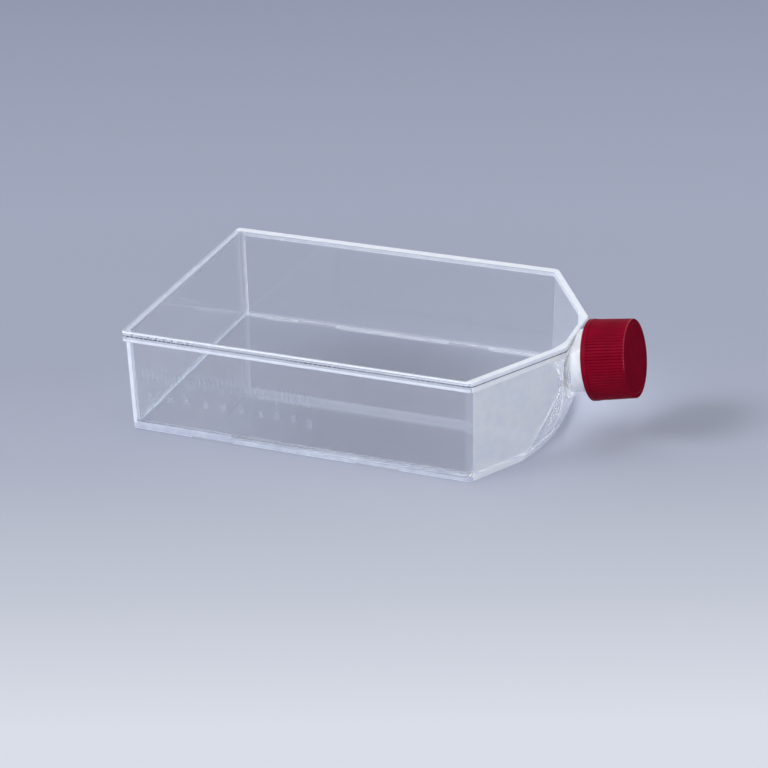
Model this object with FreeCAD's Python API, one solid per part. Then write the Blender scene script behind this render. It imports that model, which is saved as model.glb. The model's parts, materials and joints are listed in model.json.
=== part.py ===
import FreeCAD, Part
import math
import os

from FreeCAD import Placement, Rotation, Vector

# Cell culture flask of the 175 cm2 class, lying on its growth surface, in millimetres.
# A clear moulded tray carries a canted neck at one end of its shoulders. A flat plate is
# welded on its rim. A ribbed screw cap with a sealing liner closes the neck.
# While it is modelled, x runs from the rear edge of the rim (0) towards the neck, y = 0 is
# the plane of symmetry and z = 0 is the plane that the foot stands on. At the end all
# pieces move together, so that the origin is under the middle of the whole flask's box.

# ---- rim and shoulders, in plan ----
rim_length = 145.9            # rear edge to the start of the shoulders
shoulder_length = 24.8        # along x
rim_width = 115.4
neck_end_width = 31.0         # straight edge of the rim between the shoulders
# corners in plan, in the order rear, shoulder, neck end
rim_radii = [1.6, 3.5, 2.5]
wall_radii = [2.8, 4.0, 2.5]
hollow_radii = [1.8, 3.0, 1.5]

# ---- tray and plate, in height ----
flask_height = 43.2           # foot to the top face of the plate
plate_thickness = 1.8
flange_thickness = 2.6
rim_overhang = 0.6            # rim's edge to the wall's outer face, just under the flange
wall_thickness = 1.8
floor_thickness = 1.8
wall_draft = 1.1              # degrees; the tray narrows towards its floor
floor_fillet = 1.5            # inside, between floor and walls
foot_rounding = 0.6
rim_rounding = 0.5            # outer edges of plate and flange
seam_bevel = 0.25             # each side of the weld line

# ---- foot: a low skirt round the floor, with slots that let air under the flask ----
skirt_height = 1.0
skirt_width = 2.0
slot_depth = 0.6              # less than the skirt's height
side_slot_length = 18.0
side_slot_pitch = 70.0
side_slot_middle = 72.0       # from the rear edge of the rim
rear_slot_length = 48.0

# ---- shoulder funnel: a wide cone on a level axis that gathers the end into the neck ----
funnel_half_angle = 69.5      # degrees, between its axis and its face
funnel_axis_drop = 13.2       # below the top face of the plate
throat_gap = 0.1              # plate's end to where the funnel meets the neck

# ---- neck ----
neck_radius = 12.5
neck_wall = 2.0
neck_length = 21.1            # throat to mouth, along the neck
neck_cant = 11.0              # degrees; the neck rises away from the tray
cant_point_set_back = 3.4     # throat to the point where the neck's axis leaves the funnel's
mouth_rounding = 0.5
neck_fillet = 1.5             # outside, between funnel and neck
roof_thickness = 2.0          # between the weld face and the flat roof of the passage
plate_gap = 0.2               # plate's end to the part of the neck that rises beside it

# ---- screw cap and liner ----
thread_depth = 1.4            # of the neck's screw thread, which stands on neck_radius
thread_clearance = 0.45       # thread crest to the inside of the cap
cap_wall = 1.85               # at the open end, ribs included
cap_length = 17.4
cap_top_thickness = 1.6
cap_draft = 1.65              # degrees; the cap narrows towards its closed end
cap_band_height = 2.0         # plain band at the open end
cap_band_step = 0.15          # band to rib crest
cap_edge_rounding = 0.4       # round the closed end
cap_face_recess = 0.2         # shallow dish in the closed end
cap_face_border = 1.8
rib_count = 80
rib_depth = 0.3
rib_groove_share = 0.5        # of the pitch, taken by the groove at the crest
liner_thickness = 1.2
liner_clearance = 0.35        # liner's edge to the inside of the cap

overshoot = 1.0               # how far cutting shapes run past what they cut

# ---- sizes that follow ----
plate_length = rim_length + shoulder_length
weld_height = flask_height - plate_thickness
flange_bottom = weld_height - flange_thickness
floor_top = skirt_height + floor_thickness
funnel_slope = math.tan(math.radians(funnel_half_angle))
throat_x = plate_length + throat_gap
funnel_axis_z = flask_height - funnel_axis_drop
cant_point = Vector(throat_x - cant_point_set_back, 0, funnel_axis_z)
cant_cosine = math.cos(math.radians(neck_cant))
cant_slope = math.tan(math.radians(neck_cant))
throat_on_neck = cant_point_set_back / cant_cosine
mouth_on_neck = throat_on_neck + neck_length
bore_radius = neck_radius - neck_wall
cap_cavity_radius = neck_radius + thread_depth + thread_clearance
cap_band_radius = cap_cavity_radius + cap_wall
cap_cavity_depth = cap_length - cap_top_thickness
cap_rim_on_neck = mouth_on_neck + liner_thickness - cap_cavity_depth


def plan_outline(side_inset, neck_inset, radii, height):
    """Rounded six-sided outline at one height, moved in from the rim's edge.

    side_inset moves the rear, the long sides and the shoulders; neck_inset moves the
    short edge at the neck. A negative inset moves an edge out.
    """
    half, neck_half = rim_width / 2, neck_end_width / 2
    corners = [
        Vector(0, -half), Vector(rim_length, -half), Vector(plate_length, -neck_half),
        Vector(plate_length, neck_half), Vector(rim_length, half), Vector(0, half),
    ]
    all_radii = radii + radii[::-1]
    insets = [side_inset, side_inset, neck_inset, side_inset, side_inset, side_inset]
    count = len(corners)
    directions = [(corners[(i + 1) % count] - corners[i]).normalize() for i in range(count)]
    inward = [Vector(-d.y, d.x) for d in directions]

    starts, middles, ends = [], [], []
    for i in range(count):
        before, after = directions[i - 1], directions[i]
        # where the two moved edges cross
        turn_sine = before.cross(after).z
        shift = (after * insets[i - 1] - before * insets[i]) / turn_sine
        corner = corners[i] + shift
        radius = all_radii[i]
        half_turn = math.acos(before.dot(after)) / 2
        to_centre = (inward[i - 1] + inward[i]).normalize()
        level = Vector(0, 0, height)
        starts.append(corner - before * (radius * math.tan(half_turn)) + level)
        ends.append(corner + after * (radius * math.tan(half_turn)) + level)
        middles.append(corner + to_centre * (radius / math.cos(half_turn) - radius) + level)

    edges = []
    for i in range(count):
        edges.append(Part.Arc(starts[i], middles[i], ends[i]).toShape())
        edges.append(Part.LineSegment(ends[i], starts[(i + 1) % count]).toShape())
    return Part.Wire(edges)


def slab(side_inset, neck_inset, bottom, top):
    """Plate with upright edges that follows the plan outline."""
    face = Part.Face(plan_outline(side_inset, neck_inset, rim_radii, bottom))
    return face.extrude(Vector(0, 0, top - bottom))


def wall_inset(height):
    """How far in the wall's outer face lies from the rim's edge, at one height."""
    return rim_overhang + (flange_bottom - height) * math.tan(math.radians(wall_draft))


def drafted_block(extra_inset, neck_inset, radii, bottom, top):
    """Solid whose sides lie extra_inset inside the tray's drafted outer faces."""
    lower = plan_outline(wall_inset(bottom) + extra_inset, neck_inset, radii, bottom)
    upper = plan_outline(wall_inset(top) + extra_inset, neck_inset, radii, top)
    return Part.makeLoft([lower, upper], True, True)


def edges_at(shape, height):
    """Edges that lie in one level plane."""
    near = 0.001
    return [e for e in shape.Edges if all(abs(v.Z - height) < near for v in e.Vertexes)]


def edges_between(shape, first, second):
    """Edges that part a face on one kind of surface from a face on another."""
    found = []
    for edge in shape.Edges:
        kinds = {type(face.Surface) for face in shape.ancestorsOfType(edge, Part.Face)}
        if kinds == {first, second}:
            found.append(edge)
    return found


def funnel(set_back):
    """Cone that bounds the neck end, moved set_back towards the rear of the flask.

    It has the neck's radius at the throat and runs on a little, to end inside the neck.
    """
    tip_x = throat_x + neck_wall / funnel_slope - set_back
    base = Vector(tip_x - plate_length, 0, funnel_axis_z)
    base_radius = bore_radius + plate_length * funnel_slope
    return Part.makeCone(base_radius, bore_radius, plate_length, base, Vector(1, 0, 0))


def funnel_set_back(thickness):
    """Set-back along x that leaves this thickness square to the cone's face."""
    return thickness / math.sin(math.radians(funnel_half_angle))


def place_on_neck(shape, distance):
    """Move a shape built on +Z from the origin onto the neck's axis, at a distance."""
    turned = Rotation(Vector(0, 1, 0), 90 - neck_cant)
    origin = cant_point + turned.multVec(Vector(0, 0, distance))
    shape.Placement = Placement(origin, turned)
    return shape


def neck_passage():
    """Room inside the neck: round to the mouth, with a flat roof where it runs under the
    plate, so that the weld face goes on unbroken above it."""
    inner_end = cant_point.x - plate_length / 2
    inner_distance = (inner_end - cant_point.x) / cant_cosine
    mouth = mouth_on_neck + overshoot
    round_start_x = plate_length + plate_gap + neck_wall
    round_start = (round_start_x - cant_point.x) / cant_cosine + bore_radius * cant_slope
    round_part = Part.makeCylinder(bore_radius, mouth - round_start)

    axis_z_at_throat = cant_point.z + (throat_x - cant_point.x) * cant_slope
    roof_above_axis = (weld_height - roof_thickness - axis_z_at_throat) * cant_cosine
    roofed_length = round_start - inner_distance
    roofed_part = Part.makeCylinder(bore_radius, roofed_length)
    keep = Part.makeBox(2 * bore_radius, 2 * bore_radius, roofed_length)
    # in this frame the flask's upward side faces -x
    keep.translate(Vector(-roof_above_axis, -bore_radius, 0))
    roofed_part = roofed_part.common(keep)
    shoulder_hollow = Part.makeBox(plate_length, rim_width, flask_height)
    shoulder_hollow.translate(Vector(rim_length, -rim_width / 2, 0))
    roofed_part = place_on_neck(roofed_part, inner_distance).common(shoulder_hollow)
    return place_on_neck(round_part, round_start).fuse(roofed_part)


def foot_slots():
    """Bars across the foot. They are lower than the skirt is high, so that each leaves only
    a slot where it crosses the skirt: two in each long side and one at the rear."""
    bars = []
    for side in (-1, 1):
        middle = side_slot_middle + side * side_slot_pitch / 2
        bar = Part.makeBox(side_slot_length, rim_width, slot_depth)
        bar.translate(Vector(middle - side_slot_length / 2, -rim_width / 2, 0))
        bars.append(bar)
    rear = Part.makeBox(side_slot_middle, rear_slot_length, slot_depth)
    rear.translate(Vector(0, -rear_slot_length / 2, 0))
    return bars + [rear]


def make_flask_body():
    """Tray, flange, shoulders and neck: one moulding."""
    past_throat = -throat_gap - neck_wall
    walls = drafted_block(0, past_throat, wall_radii, 0, weld_height).common(funnel(0))
    walls = walls.makeFillet(foot_rounding, edges_at(walls, 0))

    flange = slab(0, 0, flange_bottom, weld_height)
    flange = flange.makeFillet(rim_rounding, edges_at(flange, flange_bottom))
    flange = flange.makeChamfer(seam_bevel, edges_at(flange, weld_height))

    neck = Part.makeCylinder(neck_radius, mouth_on_neck)
    neck = neck.makeFillet(mouth_rounding, edges_at(neck, mouth_on_neck))
    neck = place_on_neck(neck, 0)

    tray = walls.fuse(neck)
    tray = tray.makeFillet(neck_fillet, edges_between(tray, Part.Cone, Part.Cylinder))

    plate_room = slab(-plate_gap, -plate_gap, weld_height, flask_height + neck_radius)
    outside = tray.fuse(flange).cut(plate_room)

    end_wall_inset = rim_overhang + wall_thickness
    hollow_top = weld_height + overshoot
    hollow = drafted_block(wall_thickness, end_wall_inset, hollow_radii, floor_top, hollow_top)
    hollow = hollow.common(funnel(funnel_set_back(wall_thickness)))
    hollow = hollow.makeFillet(floor_fillet, edges_at(hollow, floor_top))

    under_floor = drafted_block(skirt_width, past_throat, hollow_radii, -overshoot, skirt_height)
    under_floor = under_floor.common(funnel(skirt_width))
    return outside.cut([hollow, neck_passage(), under_floor] + foot_slots())


def make_top_plate():
    """Flat plate welded on the flange and on the tops of the walls."""
    plate = slab(0, 0, weld_height, flask_height)
    plate = plate.makeFillet(rim_rounding, edges_at(plate, flask_height))
    return plate.makeChamfer(seam_bevel, edges_at(plate, weld_height))


def crest_radius(height):
    """Radius over the ribs, at a height above the cap's open rim."""
    above_band = height - cap_band_height
    return cap_band_radius - cap_band_step - above_band * math.tan(math.radians(cap_draft))


def rib_grooves():
    """The V-shaped grooves that leave the ribs standing, as one compound."""
    pitch_angle = 2 * math.pi / rib_count
    half_angle = pitch_angle * rib_groove_share / 2
    bottom, top = cap_band_height, cap_length + overshoot
    sections = []
    for height in (bottom, top):
        crest = crest_radius(height)
        deep = Vector(crest - rib_depth, 0, height)
        # the section is a kite, so that its widest line lies on the crest circle
        wide = crest * math.cos(half_angle)
        reach = crest * math.sin(half_angle)
        outer = Vector(crest + rib_depth, 0, height)
        corners = [deep, Vector(wide, reach, height), outer, Vector(wide, -reach, height)]
        sections.append(Part.makePolygon(corners + [deep]))
    groove = Part.makeLoft(sections, True, True)
    copies = []
    for i in range(rib_count):
        copy = groove.copy()
        copy.rotate(Vector(0, 0, 0), Vector(0, 0, 1), math.degrees(i * pitch_angle))
        copies.append(copy)
    return Part.makeCompound(copies)


def make_screw_cap():
    """Ribbed cap, turned up as one profile, with its open rim at the origin."""
    end_radius = crest_radius(cap_length)
    centre_radius = end_radius - cap_edge_rounding
    centre_height = cap_length - cap_edge_rounding
    diagonal = cap_edge_rounding * math.sqrt(0.5)
    dish_radius = end_radius - cap_face_border
    dish_floor = cap_length - cap_face_recess
    side_points = [
        Vector(cap_cavity_radius, 0, 0),
        Vector(cap_band_radius, 0, 0),
        Vector(cap_band_radius, 0, cap_band_height),
        Vector(crest_radius(cap_band_height), 0, cap_band_height),
        Vector(end_radius, 0, centre_height),
    ]
    top_points = [
        Vector(centre_radius, 0, cap_length),
        Vector(dish_radius, 0, cap_length),
        Vector(dish_radius - cap_face_recess, 0, dish_floor),
        Vector(0, 0, dish_floor),
        Vector(0, 0, cap_cavity_depth),
        Vector(cap_cavity_radius, 0, cap_cavity_depth),
        Vector(cap_cavity_radius, 0, 0),
    ]
    arc_middle = Vector(centre_radius + diagonal, 0, centre_height + diagonal)
    rounding = Part.Arc(side_points[-1], arc_middle, top_points[0]).toShape()
    edges = Part.makePolygon(side_points).Edges + [rounding] + Part.makePolygon(top_points).Edges
    cap = Part.Face(Part.Wire(edges)).revolve(Vector(0, 0, 0), Vector(0, 0, 1), 360)
    return place_on_neck(cap.cut(rib_grooves()), cap_rim_on_neck)


def make_cap_liner():
    """Soft sealing disc, pressed flat between the mouth and the cap."""
    disc = Part.makeCylinder(cap_cavity_radius - liner_clearance, liner_thickness)
    return place_on_neck(disc, mouth_on_neck)


def write_parts():
    """Build every piece, bring the origin under the middle of the box, and write them."""
    pieces = {
        "flask_body": make_flask_body(),
        "top_plate": make_top_plate(),
        "screw_cap": make_screw_cap(),
        "cap_liner": make_cap_liner(),
    }
    box = Part.makeCompound(list(pieces.values())).optimalBoundingBox(False)
    to_origin = Vector(-box.Center.x, -box.Center.y, -box.ZMin)
    os.makedirs("parts", exist_ok=True)
    for name, shape in pieces.items():
        shape = shape.removeSplitter()
        shape.translate(to_origin)
        shape.exportStep("parts/" + name + ".step")
        print(name, len(shape.Solids), "solid", shape.isValid(), round(shape.Volume, 1))


write_parts()
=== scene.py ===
import json
import math

import bmesh
import bpy
import numpy as np
from mathutils import Matrix, Vector


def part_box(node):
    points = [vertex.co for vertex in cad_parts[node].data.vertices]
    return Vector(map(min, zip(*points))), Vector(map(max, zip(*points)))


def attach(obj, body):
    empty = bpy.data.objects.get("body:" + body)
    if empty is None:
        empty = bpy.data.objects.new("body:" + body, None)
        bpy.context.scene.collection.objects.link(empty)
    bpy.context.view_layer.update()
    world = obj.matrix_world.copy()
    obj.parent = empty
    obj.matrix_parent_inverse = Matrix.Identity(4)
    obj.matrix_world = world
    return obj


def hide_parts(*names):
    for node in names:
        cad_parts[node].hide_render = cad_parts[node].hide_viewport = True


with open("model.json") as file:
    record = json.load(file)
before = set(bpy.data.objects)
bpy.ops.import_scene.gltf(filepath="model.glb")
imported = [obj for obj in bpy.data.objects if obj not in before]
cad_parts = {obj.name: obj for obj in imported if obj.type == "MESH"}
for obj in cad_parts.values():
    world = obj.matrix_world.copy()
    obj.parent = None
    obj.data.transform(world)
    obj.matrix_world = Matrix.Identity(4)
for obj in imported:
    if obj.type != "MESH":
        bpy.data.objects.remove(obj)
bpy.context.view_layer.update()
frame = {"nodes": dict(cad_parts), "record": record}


def add_object(name, data):
    ob = bpy.data.objects.new(name, data)
    bpy.context.scene.collection.objects.link(ob)
    return ob


# ---- camera: the photograph's viewing angle ----
# degrees round from the front towards the cap, above the horizon, and of roll
CAMERA_AZIMUTH, CAMERA_ELEVATION, CAMERA_ROLL = 20.783, 25.978, -0.859
CAMERA_PLACE = (0.29002, -0.78943, 0.41891)
CAMERA_LENS = 107.23       # millimetres
SENSOR_WIDTH = 36.0


def make_camera():
    data = bpy.data.cameras.new("camera")
    data.sensor_width = SENSOR_WIDTH
    data.lens = CAMERA_LENS
    data.clip_start, data.clip_end = 0.05, 50.0
    camera = add_object("camera", data)
    around = Matrix.Rotation(math.radians(CAMERA_AZIMUTH), 4, "Z")
    above = Matrix.Rotation(math.radians(90 - CAMERA_ELEVATION), 4, "X")
    roll = Matrix.Rotation(math.radians(CAMERA_ROLL), 4, "Z")
    camera.matrix_world = Matrix.Translation(CAMERA_PLACE) @ around @ above @ roll
    bpy.context.scene.camera = camera


make_camera()


def new_material(name):
    mat = bpy.data.materials.new(name)
    mat.use_nodes = True
    nt = mat.node_tree
    nt.nodes.clear()
    out = nt.nodes.new("ShaderNodeOutputMaterial")
    return mat, nt, out


def principled(nt, roughness):
    shader = nt.nodes.new("ShaderNodeBsdfPrincipled")
    shader.inputs["Roughness"].default_value = roughness
    return shader


def noise(nt, scale, detail=2.0):
    """Noise in the object's own space; scale is in waves a metre."""
    place = nt.nodes.new("ShaderNodeTexCoord")
    texture = nt.nodes.new("ShaderNodeTexNoise")
    texture.inputs["Scale"].default_value = scale
    texture.inputs["Detail"].default_value = detail
    nt.links.new(place.outputs["Object"], texture.inputs["Vector"])
    return texture.outputs["Fac"]


def two_tone(nt, factor, dark, light, low=0.3, high=0.7):
    """A ramp from dark at factor low to light at factor high."""
    ramp = nt.nodes.new("ShaderNodeValToRGB")
    ramp.color_ramp.elements[0].position = low
    ramp.color_ramp.elements[0].color = (*dark, 1)
    ramp.color_ramp.elements[1].position = high
    ramp.color_ramp.elements[1].color = (*light, 1)
    nt.links.new(factor, ramp.inputs[0])
    return ramp.outputs[0]


def fill_ramp(ramp, stops):
    """Give a new ramp these (position, colour) stops, in rising order."""
    elements = ramp.color_ramp.elements
    while len(elements) < len(stops):
        elements.new(0.5)
    for element, (at, colour) in zip(elements, stops):
        element.position = at
        element.color = (*colour, 1)


def dot_with(nt, vector, direction):
    node = nt.nodes.new("ShaderNodeVectorMath")
    node.operation = "DOT_PRODUCT"
    node.inputs[1].default_value = direction
    nt.links.new(vector, node.inputs[0])
    return node.outputs["Value"]


def map_range(nt, value, low, high, to_low=0.0, to_high=1.0):
    node = nt.nodes.new("ShaderNodeMapRange")
    node.inputs["From Min"].default_value = low
    node.inputs["From Max"].default_value = high
    node.inputs["To Min"].default_value = to_low
    node.inputs["To Max"].default_value = to_high
    nt.links.new(value, node.inputs["Value"])
    return node


def bump(nt, height, distance, shader):
    node = nt.nodes.new("ShaderNodeBump")
    node.inputs["Distance"].default_value = distance
    nt.links.new(height, node.inputs["Height"])
    nt.links.new(node.outputs[0], shader.inputs["Normal"])


def clear_plastic(name, clear, tones, wave, shade=0.93, ior=1.59):
    """Polished polystyrene. Where clear is below 1, its white base colour is painted
    highlight, standing in for the light that edges gather and refract.

    clear is from 0, white, to 1. wave is the depth of its ripples, in metres, and
    shade is how much light one surface lets through to what is under it.
    """
    mat, nt, out = new_material(name)
    shader = principled(nt, 0.0)
    shader.inputs["IOR"].default_value = ior
    shader.inputs["Transmission Weight"].default_value = clear
    nt.links.new(two_tone(nt, noise(nt, 260), *tones), shader.inputs["Base Color"])
    bump(nt, noise(nt, 45, 0.0), wave, shader)
    through = nt.nodes.new("ShaderNodeBsdfTransparent")
    through.inputs["Color"].default_value = (shade, shade, shade, 1.0)
    path = nt.nodes.new("ShaderNodeLightPath")
    mix = nt.nodes.new("ShaderNodeMixShader")
    nt.links.new(path.outputs["Is Shadow Ray"], mix.inputs[0])
    nt.links.new(shader.outputs[0], mix.inputs[1])
    nt.links.new(through.outputs[0], mix.inputs[2])
    nt.links.new(mix.outputs[0], out.inputs["Surface"])
    return mat


def weld_seam():
    """The groove of the weld, with a row of darker beads about 2 mm apart."""
    mat, nt, out = new_material("polystyrene_weld")
    shader = principled(nt, 0.2)
    place = nt.nodes.new("ShaderNodeTexCoord")
    beads = nt.nodes.new("ShaderNodeTexVoronoi")
    beads.inputs["Scale"].default_value = 500.0
    beads.inputs["Randomness"].default_value = 0.15
    nt.links.new(place.outputs["Object"], beads.inputs["Vector"])
    bead, groove = (0.05, 0.06, 0.09), (0.42, 0.45, 0.54)
    spots = two_tone(nt, beads.outputs["Distance"], bead, groove, 0.45, 0.7)
    fade = nt.nodes.new("ShaderNodeMix")
    fade.data_type = "RGBA"
    patches = two_tone(nt, noise(nt, 28), (0, 0, 0), (1, 1, 1), 0.45, 0.6)
    nt.links.new(patches, fade.inputs["Factor"])
    nt.links.new(spots, fade.inputs["A"])
    fade.inputs["B"].default_value = (0.30, 0.33, 0.42, 1)
    nt.links.new(fade.outputs["Result"], shader.inputs["Base Color"])
    nt.links.new(shader.outputs[0], out.inputs["Surface"])
    return mat


def red_plastic(name, tones, gloss, roughness):
    """Moulded polyethylene with a little flow streaking and a fine grain."""
    mat, nt, out = new_material(name)
    shader = principled(nt, roughness)
    shader.inputs["Specular IOR Level"].default_value = gloss
    nt.links.new(two_tone(nt, noise(nt, 180, 4.0), *tones), shader.inputs["Base Color"])
    bump(nt, noise(nt, 2600), 0.00001, shader)
    nt.links.new(shader.outputs[0], out.inputs["Surface"])
    return mat


def white_foam():
    """Foamed liner: fine open cells."""
    mat, nt, out = new_material("white_liner")
    shader = principled(nt, 0.7)
    grain = noise(nt, 2200, 3.0)
    tones = ((0.78, 0.78, 0.76), (0.88, 0.88, 0.86))
    nt.links.new(two_tone(nt, grain, *tones), shader.inputs["Base Color"])
    bump(nt, grain, 0.00006, shader)
    nt.links.new(shader.outputs[0], out.inputs["Surface"])
    return mat


def welded_copy(name, node, cuts):
    """A closed copy of a CAD node's mesh that keeps its exact normals.

    It is also split along the given planes, so that a finish can start there.
    """
    source = frame["nodes"][node].data
    mesh = source.copy()
    mesh.name = name
    normals = np.zeros(len(mesh.loops) * 3, np.float32)
    mesh.corner_normals.foreach_get("vector", normals)
    keep = mesh.attributes.new("keep_normal", "FLOAT_VECTOR", "CORNER")
    keep.data.foreach_set("vector", normals)
    bm = bmesh.new()
    bm.from_mesh(mesh)
    bmesh.ops.remove_doubles(bm, verts=bm.verts, dist=1e-6)
    for point, direction in cuts:
        every = bm.verts[:] + bm.edges[:] + bm.faces[:]
        bmesh.ops.bisect_plane(bm, geom=every, plane_co=point, plane_no=direction)
    bm.to_mesh(mesh)
    bm.free()
    mesh.materials.clear()
    kept = np.zeros(len(mesh.loops) * 3, np.float32)
    mesh.attributes["keep_normal"].data.foreach_get("vector", kept)
    mesh.polygons.foreach_set("use_smooth", [True] * len(mesh.polygons))
    mesh.normals_split_custom_set(kept.reshape(-1, 3))
    mesh.attributes.remove(mesh.attributes["keep_normal"])
    return add_object(name, mesh)


# ---- places on the part, in metres ----
plate_low, plate_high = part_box("top_plate")
REAR = plate_low.x         # rear edge of the rim
SHOULDER_FROM_REAR = 0.1459
SHOULDER = REAR + SHOULDER_FROM_REAR   # where the shoulders start
RIM_SIDE = plate_high.y    # half the rim's width
NECK_END_SIDE = 0.0155     # half the rim's straight edge between the shoulders

# ---- the neck's own frame: a place along its axis, a radius and an angle from its top ----
mounts = {mount["name"]: mount for mount in frame["record"]["mounts"]}
MOUTH = Vector(mounts["neck_finish"]["pos_m"])
ALONG = Vector(mounts["neck_finish"]["axis"])
NECK_RADIUS = mounts["neck_finish"]["dims"]["r_mm"] / 1000
UPWARD = Vector((-ALONG.z, 0, ALONG.x))
ACROSS = Vector((0, -1, 0))
NECK_LENGTH = 0.024564     # from the mouth back to where the axis starts to rise
CANT_POINT = MOUTH - ALONG * NECK_LENGTH
CAP_END = NECK_LENGTH + 0.0028   # along the axis, where the cap's closed end is


def on_neck(along, radius, angle):
    side = UPWARD * math.cos(angle) + ACROSS * math.sin(angle)
    return CANT_POINT + ALONG * along + side * radius


def neck_place(point):
    """How far along the neck's axis a point lies, and how far from it."""
    along = (point - CANT_POINT).dot(ALONG)
    return along, (point - CANT_POINT - ALONG * along).length


# heights above the foot
WELD = plate_low.z         # the weld face
WELD_OVERLAP = 0.00003     # how far the plate's underside dips into the tray
FLANGE_BOTTOM = WELD - 0.0026
FLANGE_MIDDLE = WELD - 0.0012
FLOOR_BOTTOM = 0.001
FLOOR_TOP = 0.0028
FILLET_TOP = 0.0044        # where the fillet round the floor ends
FOOT_EDGE = 0.0007         # top of the foot's bright lowest edge, a painted highlight
FOOT_TOP = 0.0021
PAINTED_MILKY_TOP = 0.0036          # top of the band of painted milky highlight near the rear

FOOT_PAINTED_REACH = 0.045          # how far from the rear edge the foot and its fillet carry painted milky highlight
TRAY_MIDDLE = 0.08         # from the rear edge, between its rear half and its front half
REAR_WELD = 0.003          # how far from the rear edge the weld face is bright with painted highlight
REAR_FILLET_END = 0.01     # how far from the rear edge the rear wall's fillet reaches
BACK_WELD = 0.03           # farther back than this, the weld face is white with painted highlight
PANEL_SIDE = 0.02          # farther from the middle plane than this are the shoulders' panels
BACK_SEAM = 0.02
CORNER_X, CORNER_Y = 0.0045, 0.0525   # beyond these are the upright corners at the rear
EDGE_X, EDGE_Y = 0.0006, 0.0572       # beyond these is the flange's own edge
NECK_FROM = 0.004005       # where the neck's wall starts, along its axis
NECK_NEAR = 0.001          # a face this near to the neck's radius is on its outside
BAND = 0.0026              # width of the band of painted white highlight where the weld shows through the plate
BACK_BAND = 1.6 * BAND     # its width along the back
SEAM_HALF = 0.00026        # half the groove's height, and a little
SAME_PLANE = 0.00005       # a face this near a height lies at it
SAME_FLOOR = 0.00002

# the finishes of the clear plastic, in the order of the list below; all but the clear ones,
# the growth surface and the seam are painted highlight
(
    CLEAR, FAINT_PAINTED_HIGHLIGHT, SOFT_EDGE, BRIGHT_EDGE, SEAM, WHITE_PAINTED_HIGHLIGHT, GROWTH,
    PANEL, PLATE, RIM_TOP, NECK, REAR_TOP, FOOT, REAR_FILLET,
) = range(14)


def on_seam(centre, normal):
    """The two bevels that leave a groove between plate and flange."""
    return abs(centre.z - WELD) < SEAM_HALF and 0.3 < abs(normal.z) < 0.9


def seam_finish(centre):
    """The seam's beads show on the front only. At the back it is a white line of painted
    highlight.
    """
    return BRIGHT_EDGE if centre.y > BACK_SEAM else SEAM


# the inner edge of the painted highlight band on the plate: a point and an outward normal for
# each line
SLOPE_NORMAL = Vector((RIM_SIDE - NECK_END_SIDE, plate_high.x - SHOULDER, 0)).normalized()
RIM_LINES = []
for side in (1, -1):
    outward = Vector((SLOPE_NORMAL.x, side * SLOPE_NORMAL.y, 0))
    RIM_LINES.append((Vector((SHOULDER, side * RIM_SIDE, 0)) - outward * BAND, outward))
RIM_LINES.append((Vector((0, RIM_SIDE - BACK_BAND, 0)), Vector((0, 1, 0))))
REAR_LINE = (Vector((REAR + BAND, 0, 0)), Vector((-1, 0, 0)))


def plate_zone(centre, normal):
    """Which finish a face of the top plate has: its rim bands, rear end and edges get painted
    highlight.
    """
    if abs(normal.z) > 0.999:
        if normal.z > 0 and any((centre - p).dot(n) > 0 for p, n in RIM_LINES):
            return RIM_TOP
        if normal.z > 0 and centre.x < REAR + BAND:
            return REAR_TOP
        return PLATE
    if on_seam(centre, normal):
        return seam_finish(centre)
    if abs(normal.z) < 0.05 and centre.x < SHOULDER:
        return FAINT_PAINTED_HIGHLIGHT
    return BRIGHT_EDGE


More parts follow.
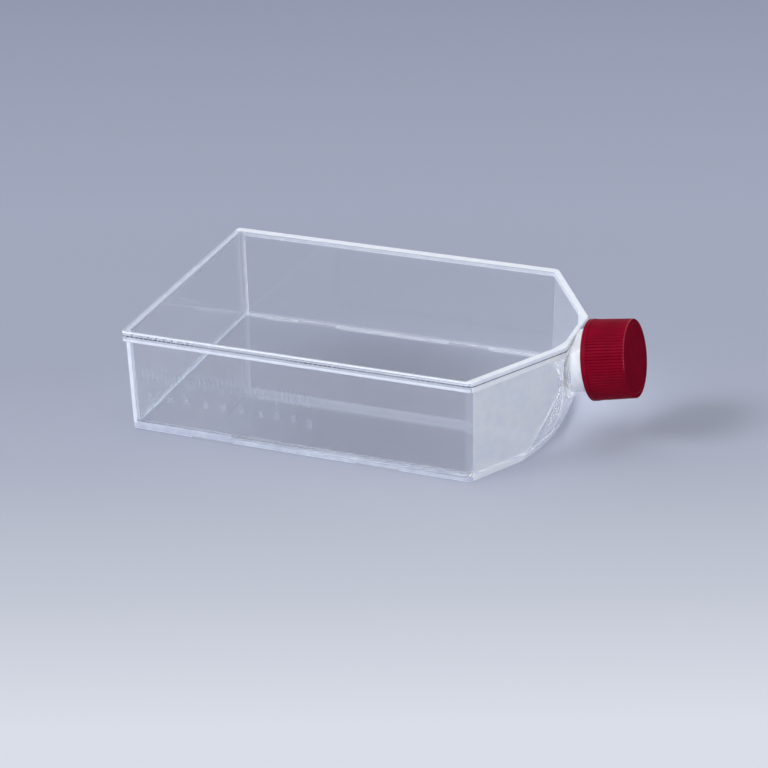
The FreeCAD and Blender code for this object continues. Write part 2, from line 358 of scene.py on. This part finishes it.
def tray_zone(centre, normal):
    """Which finish a face of the moulding has: the neck, weld face, flange, rear corners,
    foot, fillets and shoulder panels get painted highlight.
    """
    along, radius = neck_place(centre)
    if along > NECK_FROM and abs(radius - NECK_RADIUS) < NECK_NEAR:
        return NECK
    if on_seam(centre, normal):
        return seam_finish(centre)
    x, y, z = centre.x - REAR, abs(centre.y), centre.z
    back = centre.y > 0
    shoulder = x > SHOULDER_FROM_REAR
    # how much the face looks away from the tray's middle, lengthways and sideways
    out_x = -normal.x if x < TRAY_MIDDLE else normal.x
    out_y = normal.y if back else -normal.y

    # the weld face and the flange, white with painted highlight
    if abs(z - WELD) < SAME_PLANE and normal.z > 0.99:
        if shoulder or (back and y > BACK_WELD):
            return WHITE_PAINTED_HIGHLIGHT
        return BRIGHT_EDGE if x < REAR_WELD else SOFT_EDGE
    if abs(z - FLANGE_BOTTOM) < SAME_PLANE and normal.z < -0.99:
        return SOFT_EDGE if back else FAINT_PAINTED_HIGHLIGHT
    flange_side = y > NECK_END_SIDE - 0.001 and out_x > -0.2 and out_y > -0.0001
    if z > FLANGE_BOTTOM and abs(normal.z) < 0.999 and flange_side:
        if shoulder:
            return WHITE_PAINTED_HIGHLIGHT
        if x < EDGE_X or y > EDGE_Y:
            return BRIGHT_EDGE if z < FLANGE_MIDDLE else SOFT_EDGE

    # the upright corners at the rear, white with painted highlight
    leans = max(abs(normal.x), abs(normal.y), abs(normal.z)) < 0.9985
    upright = z > FLOOR_TOP and leans and abs(normal.z) < 0.5
    if x < CORNER_X and y > CORNER_Y and upright:
        return BRIGHT_EDGE

    # the foot, milky and bright with painted highlight
    if x < FOOT_PAINTED_REACH and out_y > 0.3 and FOOT_EDGE < z < PAINTED_MILKY_TOP and not back:
        return FOOT
    if z < FLOOR_TOP and (out_x > 0.3 or out_y > 0.3) and abs(normal.z) < 0.999:
        if shoulder:
            return WHITE_PAINTED_HIGHLIGHT
        if z > FOOT_TOP:
            return FAINT_PAINTED_HIGHLIGHT
        return BRIGHT_EDGE if z < FOOT_EDGE else FOOT

    # the floor, the fillet round it and the shoulders; the fillet and the shoulders' panels
    # get painted highlight
    if FLOOR_TOP < z < FILLET_TOP and 0.1 < normal.z < 0.99:
        if x < REAR_FILLET_END:
            return REAR_FILLET
        return SOFT_EDGE if x < FOOT_PAINTED_REACH and not back else FAINT_PAINTED_HIGHLIGHT
    if shoulder and y > PANEL_SIDE and abs(normal.z) < 0.1:
        return FAINT_PAINTED_HIGHLIGHT if back else PANEL
    if abs(z - FLOOR_TOP) < SAME_FLOOR and normal.z > 0.99:
        return GROWTH
    if abs(z - FLOOR_BOTTOM) < SAME_FLOOR and normal.z < -0.99:
        return GROWTH
    return CLEAR


# dark and light tones; the white, milky and pale ones are for painted highlights
PURE_WHITE = ((0.86, 0.91, 1.0), (0.93, 0.97, 1.0))
NEARLY_WHITE = ((0.78, 0.83, 0.97), (0.87, 0.92, 1.0))
BLUE_WHITE = ((0.66, 0.74, 0.95), (0.78, 0.86, 1.0))
MILKY_PAINTED_HIGHLIGHT = ((0.56, 0.61, 0.74), (0.70, 0.75, 0.88))
WATER_CLEAR = ((0.985, 0.99, 1.0), (0.995, 0.998, 1.0))
COOL_CLEAR = ((0.92, 0.95, 1.0), (0.95, 0.97, 1.0))
PALE_CLEAR = ((0.86, 0.91, 1.0), (0.955, 0.98, 1.0))
FLAT, GENTLE, RIPPLED = 0.000002, 0.000005, 0.00001   # depths of ripples, in metres
# from the haze to the rear fillet, the whiter finishes are painted highlight, the haze only a
# faint one
finishes = [
    clear_plastic("clear_polystyrene", 1.0, WATER_CLEAR, FLAT),
    clear_plastic("polystyrene_faint_painted_highlight", 0.92, COOL_CLEAR, FLAT),
    clear_plastic("polystyrene_soft_edge", 0.55, NEARLY_WHITE, GENTLE),
    clear_plastic("polystyrene_bright_edge", 0.1, NEARLY_WHITE, GENTLE),
    weld_seam(),
    clear_plastic("polystyrene_white_painted_highlight", 0.04, PURE_WHITE, GENTLE),
    clear_plastic("polystyrene_growth_surface", 1.0, WATER_CLEAR, FLAT, shade=0.98, ior=1.9),
    clear_plastic("polystyrene_panel", 0.5, PALE_CLEAR, FLAT),
    clear_plastic("polystyrene_plate", 1.0, WATER_CLEAR, FLAT, shade=0.98),
    clear_plastic("polystyrene_rim_top", 0.15, PURE_WHITE, FLAT, shade=0.98),
    clear_plastic("polystyrene_neck", 0.3, PURE_WHITE, RIPPLED),
    clear_plastic("polystyrene_rear_top", 0.65, NEARLY_WHITE, FLAT, shade=0.98),
    clear_plastic("polystyrene_foot", 0.2, MILKY_PAINTED_HIGHLIGHT, RIPPLED),
    clear_plastic("polystyrene_rear_fillet", 0.15, BLUE_WHITE, GENTLE),
]
cut_heights = (FOOT_TOP, FLOOR_TOP, PAINTED_MILKY_TOP, FLANGE_MIDDLE)
level_cuts = [((0, 0, z), (0, 0, 1)) for z in cut_heights]
level_cuts.append(((REAR + FOOT_PAINTED_REACH, 0, 0), (1, 0, 0)))
for name, node, zone, cuts in (
    ("flask_moulding", "flask_body", tray_zone, level_cuts),
    ("welded_plate", "top_plate", plate_zone, RIM_LINES + [REAR_LINE]),
):
    piece = welded_copy(name, node, cuts)
    if name == "welded_plate":
        for v in piece.data.vertices:
            if v.co.z < WELD + 0.0001:
                v.co.z -= WELD_OVERLAP
    for finish in finishes:
        piece.data.materials.append(finish)
    for face in piece.data.polygons:
        face.material_index = zone(face.center, face.normal)
    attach(piece, "flask")
    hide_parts(node)


# ---- cap ----
DEEP_RED = ((0.165, 0.001, 0.012), (0.215, 0.0015, 0.016))
cap_sides = red_plastic("red_polyethylene", DEEP_RED, 0.03, 0.4)
cap_face = red_plastic("red_polyethylene_face", DEEP_RED, 0.005, 0.6)
# painted highlight: the upper ribs' tips are a lighter, glossier red, standing in for glints
# of light from above
PAINTED_GLINT_RED = ((0.24, 0.008, 0.03), (0.34, 0.03, 0.06))
cap_painted_glints = red_plastic("red_polyethylene_painted_glint", PAINTED_GLINT_RED, 0.3, 0.25)


# how far the flat end and the tips with painted glints reach back from the cap's end, and the
# tips' place
FACE_DEPTH, TIP_DEPTH = 0.0003, 0.00045
TIP_RADIUS, TIP_HEIGHT = 0.0145, 0.002


def cap_zone(centre, normal):
    """0 is the ribbed side, 1 the flat end and 2 the tips of the upper ribs, with a painted
    glint.
    """
    along, radius = neck_place(centre)
    if along > CAP_END - FACE_DEPTH and normal.dot(ALONG) > 0.9:
        return 1
    # only the tips on the upper side, where light from above would glint, get the painted
    # glint
    upper = (centre - CANT_POINT).dot(UPWARD) > TIP_HEIGHT
    if along > CAP_END - TIP_DEPTH and radius > TIP_RADIUS and upper:
        return 2
    return 0


ribbed_cap = welded_copy("ribbed_cap", "screw_cap", ())
for mat in (cap_sides, cap_face, cap_painted_glints):
    ribbed_cap.data.materials.append(mat)
for face in ribbed_cap.data.polygons:
    face.material_index = cap_zone(face.center, face.normal)
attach(ribbed_cap, "cap")
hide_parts("screw_cap")

liner = frame["nodes"]["cap_liner"]
liner.data.materials.clear()
liner.data.materials.append(white_foam())


# ---- two-start thread ----
joints = {joint["name"]: joint for joint in frame["record"]["behaviour"]["joints"]}
TURNS_TO_OPEN = joints["cap_turn"]["range_deg"][1] / 360
LEAD = joints["cap_lift"]["range_m"][1] / TURNS_TO_OPEN   # metres a turn
CAP_INSIDE = NECK_RADIUS + 0.00185
RIDGE_SINK = 0.00005       # how deep a ridge's foot sits in its wall
NECK_RIDGE, CAP_RIDGE = 0.0013, 0.00135    # how high it stands on its wall
ROOT_HALF, CREST_HALF = 0.0009, 0.0004     # half its width at the foot and at the crest
NECK_TURNS, CAP_TURNS = 1.2, 1.1           # how far each ridge runs
TURN_STEPS = 72
FADE_STEPS = 9    # over how many steps a ridge rises at each end
END_RISE = 0.15   # steps it has risen at its very end, so that the end face isn't flat
RIDGE_START = 0.0137       # along the neck's axis


def thread(name, root, crest, turns, phase, mat):
    """Two helical ridges on the neck's axis. root and crest are (radius, half width)."""
    bm = bmesh.new()
    steps = round(turns * TURN_STEPS)
    for first in (0.0, math.pi):
        rings = []
        for i in range(steps + 1):
            turn = 2 * math.pi * i / TURN_STEPS
            rise, fall = END_RISE + i, END_RISE + steps - i
            height = min(1.0, rise / FADE_STEPS, fall / FADE_STEPS)
            top_radius = root[0] + (crest[0] - root[0]) * height
            top_half = root[1] + (crest[1] - root[1]) * height
            middle = RIDGE_START + LEAD * turn / (2 * math.pi)
            profile = (
                (middle - root[1], root[0]),
                (middle - top_half, top_radius),
                (middle + top_half, top_radius),
                (middle + root[1], root[0]),
            )
            angle = turn + phase + first
            rings.append([bm.verts.new(on_neck(s, r, angle)) for s, r in profile])
        for one, other in zip(rings, rings[1:]):
            for j in range(4):
                k = (j + 1) % 4
                bm.faces.new((one[j], one[k], other[k], other[j]))
        bm.faces.new(rings[0])
        bm.faces.new(rings[-1][::-1])
    bmesh.ops.recalc_face_normals(bm, faces=bm.faces)
    mesh = bpy.data.meshes.new(name)
    bm.to_mesh(mesh)
    bm.free()
    mesh.polygons.foreach_set("use_smooth", [True] * len(mesh.polygons))
    mesh.set_sharp_from_angle(angle=math.radians(35))
    mesh.materials.append(mat)
    return add_object(name, mesh)


# the neck's ridges are white with the soft edges' painted highlight
neck_thread = thread(
    "neck_thread",
    (NECK_RADIUS - RIDGE_SINK, ROOT_HALF),
    (NECK_RADIUS + NECK_RIDGE, CREST_HALF),
    NECK_TURNS,
    0.0,
    finishes[SOFT_EDGE],
)
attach(neck_thread, "flask")
cap_thread = thread(
    "cap_thread",
    (CAP_INSIDE + RIDGE_SINK, ROOT_HALF),
    (CAP_INSIDE - CAP_RIDGE, CREST_HALF),
    CAP_TURNS,
    math.pi / 2,
    cap_sides,
)
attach(cap_thread, "cap")


# ---- fill scale on the front wall ----
STEP_MM = (10.2, 18.8, 27.1, 34.9, 42.6, 50.4, 58.3, 65.6, 72.4, 79.2)   # from the rear edge
MARK_HEIGHT = 0.0001       # of the digits
TICK_HEIGHT = 0.00004
MARK_ROOT = 0.00004        # how deep both sit in the wall
TICK_ROOT, TICK_TOP = 0.00014, 0.00008   # half widths
TICK_INSET = 0.0001        # how much shorter its top is at each end
MINOR_Z = (0.0232, 0.0283)
MAJOR_Z = (0.0207, 0.0283)
LABEL_Z = 0.0176
LABEL_SIZE = 0.0034
LABEL_SHIFT = 0.00115      # centres a digit on its tick
FIRST_TICK = 0.006         # no tick is nearer to the rear edge
WALL_TOP = RIM_SIDE - 0.0006   # the front wall under the flange, from the middle plane
WALL_DRAFT = math.radians(1.1)


def on_wall(x, z, out):
    """A point on the drafted front wall, or out from it."""
    face = WALL_TOP - (FLANGE_BOTTOM - z) * math.tan(WALL_DRAFT)
    return Vector((REAR + x, -face - out, z))


def add_tick(bm, x, low, high):
    """A raised upright line with sloped sides."""
    rings = []
    levels = (
        (TICK_ROOT, -MARK_ROOT, 0.0),
        (TICK_ROOT, 0.0, 0.0),
        (TICK_TOP, TICK_HEIGHT, TICK_INSET),
    )
    for half, out, inset in levels:
        bottom, top = low + inset, high - inset
        corners = ((-half, bottom), (half, bottom), (half, top), (-half, top))
        rings.append([bm.verts.new(on_wall(x + dx, z, out)) for dx, z in corners])
    for one, other in zip(rings, rings[1:]):
        for j in range(4):
            k = (j + 1) % 4
            bm.faces.new((one[j], one[k], other[k], other[j]))
    bm.faces.new(rings[0][::-1])
    bm.faces.new(rings[-1])


def add_label(bm, text, x):
    """Raised digits that run down the wall, so they read with the flask stood on its rear."""
    curve = bpy.data.curves.new("label", "FONT")
    curve.body = text
    curve.size = LABEL_SIZE
    curve.resolution_u = 4
    curve.extrude = (MARK_HEIGHT + MARK_ROOT) / 2
    ob = add_object("label", curve)
    graph = bpy.context.evaluated_depsgraph_get()
    mesh = bpy.data.meshes.new_from_object(ob.evaluated_get(graph))
    bpy.data.objects.remove(ob)
    bpy.data.curves.remove(curve)
    label = bmesh.new()
    label.from_mesh(mesh)
    bmesh.ops.remove_doubles(label, verts=label.verts, dist=1e-6)
    for v in label.verts:
        down, up, out = v.co
        raised = out + (MARK_HEIGHT - MARK_ROOT) / 2
        v.co = on_wall(x - LABEL_SHIFT + up, LABEL_Z - down, raised)
    label.to_mesh(mesh)
    label.free()
    bm.from_mesh(mesh)
    bpy.data.meshes.remove(mesh)


def make_scale():
    bm = bmesh.new()
    steps = [x / 1000 for x in STEP_MM]
    for i, x in enumerate(steps):
        add_tick(bm, x, *MAJOR_Z)
        add_label(bm, str(10 * (i + 1)), x)
        before = steps[i - 1] if i else 2 * steps[0] - steps[1]
        for quarter in (0.25, 0.5, 0.75):
            between = before + (x - before) * quarter
            if between > FIRST_TICK:
                add_tick(bm, between, *MINOR_Z)
    bmesh.ops.recalc_face_normals(bm, faces=bm.faces)
    mesh = bpy.data.meshes.new("fill_scale")
    bm.to_mesh(mesh)
    bm.free()
    mesh.materials.append(clear_plastic("polystyrene_scale", 0.85, NEARLY_WHITE, FLAT))
    marks = add_object("fill_scale", mesh)
    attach(marks, "flask")


make_scale()


# ---- floor ----
# a studio sweep whose colour paints the light's fall-off, paler in front and darker towards
# the back: metres behind the flask's middle, and the colour there
FLOOR_STOPS = (
    (-0.23, (0.70, 0.73, 0.80)),
    (-0.15, (0.55, 0.58, 0.66)),
    (-0.05, (0.42, 0.45, 0.55)),
    (0.04, (0.37, 0.40, 0.50)),
    (0.22, (0.36, 0.39, 0.50)),
    (0.60, (0.29, 0.32, 0.42)),
)
FLOOR_HALF = 40.0          # half its width, in metres
BACKWARD = (-0.355, 0.935, 0.0)   # level, to the back of the studio
FLOOR_DROP = 0.0002        # a hair under the foot, so that no two faces share a plane


def make_floor():
    mesh = bpy.data.meshes.new("floor")
    s = FLOOR_HALF
    corners = [(-s, -s, 0), (s, -s, 0), (s, s, 0), (-s, s, 0)]
    mesh.from_pydata(corners, [], [(0, 1, 2, 3)])
    floor = add_object("floor", mesh)
    floor.location.z = -FLOOR_DROP
    mat, nt, out = new_material("floor")
    shader = principled(nt, 0.8)
    shader.inputs["Specular IOR Level"].default_value = 0.0
    place = nt.nodes.new("ShaderNodeTexCoord")
    behind = dot_with(nt, place.outputs["Object"], BACKWARD)
    low, high = FLOOR_STOPS[0][0], FLOOR_STOPS[-1][0]
    ramp = nt.nodes.new("ShaderNodeValToRGB")
    nt.links.new(map_range(nt, behind, low, high).outputs[0], ramp.inputs[0])
    fill_ramp(ramp, [((at - low) / (high - low), colour) for at, colour in FLOOR_STOPS])
    nt.links.new(ramp.outputs[0], shader.inputs["Base Color"])
    nt.links.new(shader.outputs[0], out.inputs["Surface"])
    mesh.materials.append(mat)


make_floor()


# ---- light ----
KEY_STRENGTH = 1.3
KEY_SOFTNESS = math.radians(20)
KEY_SHINES = (0.60, 0.50, -0.62)   # from the left, in front and above


def make_key():
    data = bpy.data.lights.new("key", "SUN")
    data.energy = KEY_STRENGTH
    data.angle = KEY_SOFTNESS
    ob = add_object("key", data)
    ob.rotation_mode = "QUATERNION"
    ob.rotation_quaternion = Vector(KEY_SHINES).to_track_quat("-Z", "Y")


make_key()

# how steep a direction is (its z), and how bright the studio is there
WORLD_STOPS = (
    (0.0, 1.3),
    (0.25, 1.3),
    (0.33, 0.8),
    (0.58, 0.8),
    (0.66, 0.45),
    (0.86, 0.45),
    (0.92, 1.5),
    (1.0, 1.5),
)
WORLD_TINT = (0.89, 0.888, 0.9)
FRONT_LEFT = (-0.5, -0.86, 0.0)
BEHIND_LEVEL, FRONT_LEVEL = 0.7, 1.3

# the card: where its middle is, how many degrees from there, and how bright it is there
CARD_TOWARD = (-0.3123, 0.8223, 0.4756)
CARD_STOPS = ((12.0, 0.37), (6.0, 0.36), (4.2, 0.33), (2.3, 0.1), (0.8, 0.02))
CARD_TINT = (0.93, 1, 1.27)
CARD_REACH = 0.9           # the cosine at which its ramp starts
CARD_EDGE = (20, 12)       # degrees over which it fades into the tent


def cosine(degrees):
    return math.cos(math.radians(degrees))


def tinted(tint, level):
    return tuple(c * level for c in tint)


def make_world():
    """A studio tent, with a dark card where the top plate mirrors it."""
    world = bpy.data.worlds.new("studio")
    bpy.context.scene.world = world
    world.use_nodes = True
    nt = world.node_tree
    back = nt.nodes["Background"]
    place = nt.nodes.new("ShaderNodeTexCoord")
    sky = place.outputs["Generated"]

    # the tent: its level follows height, and it is brighter in front and to the left
    split = nt.nodes.new("ShaderNodeSeparateXYZ")
    nt.links.new(sky, split.inputs[0])
    tent = nt.nodes.new("ShaderNodeValToRGB")
    nt.links.new(split.outputs["Z"], tent.inputs[0])
    fill_ramp(tent, [(at, tinted(WORLD_TINT, level)) for at, level in WORLD_STOPS])
    frontal = dot_with(nt, sky, FRONT_LEFT)
    level = map_range(nt, frontal, -1.0, 1.0, BEHIND_LEVEL, FRONT_LEVEL)
    lit = nt.nodes.new("ShaderNodeVectorMath")
    lit.operation = "SCALE"
    nt.links.new(tent.outputs[0], lit.inputs[0])
    nt.links.new(level.outputs[0], lit.inputs["Scale"])

    # the card
    toward = dot_with(nt, sky, CARD_TOWARD)
    card = nt.nodes.new("ShaderNodeValToRGB")
    nt.links.new(map_range(nt, toward, CARD_REACH, 1.0).outputs[0], card.inputs[0])
    fill_ramp(card, [
        ((cosine(degrees) - CARD_REACH) / (1 - CARD_REACH), tinted(CARD_TINT, level))
        for degrees, level in CARD_STOPS
    ])
    edge = map_range(nt, toward, *map(cosine, CARD_EDGE))
    edge.interpolation_type = "SMOOTHSTEP"

    mix = nt.nodes.new("ShaderNodeMix")
    mix.data_type = "RGBA"
    nt.links.new(edge.outputs[0], mix.inputs["Factor"])
    nt.links.new(lit.outputs[0], mix.inputs["A"])
    nt.links.new(card.outputs[0], mix.inputs["B"])
    nt.links.new(mix.outputs["Result"], back.inputs["Color"])
    back.inputs["Strength"].default_value = 1.0


make_world()

scene = bpy.context.scene
scene.view_settings.view_transform = "Standard"
BOUNCES = 96               # a ray in the clear walls is mirrored many times
scene.cycles.max_bounces = BOUNCES
scene.cycles.glossy_bounces = BOUNCES
scene.cycles.transmission_bounces = BOUNCES
scene.cycles.transparent_max_bounces = 32
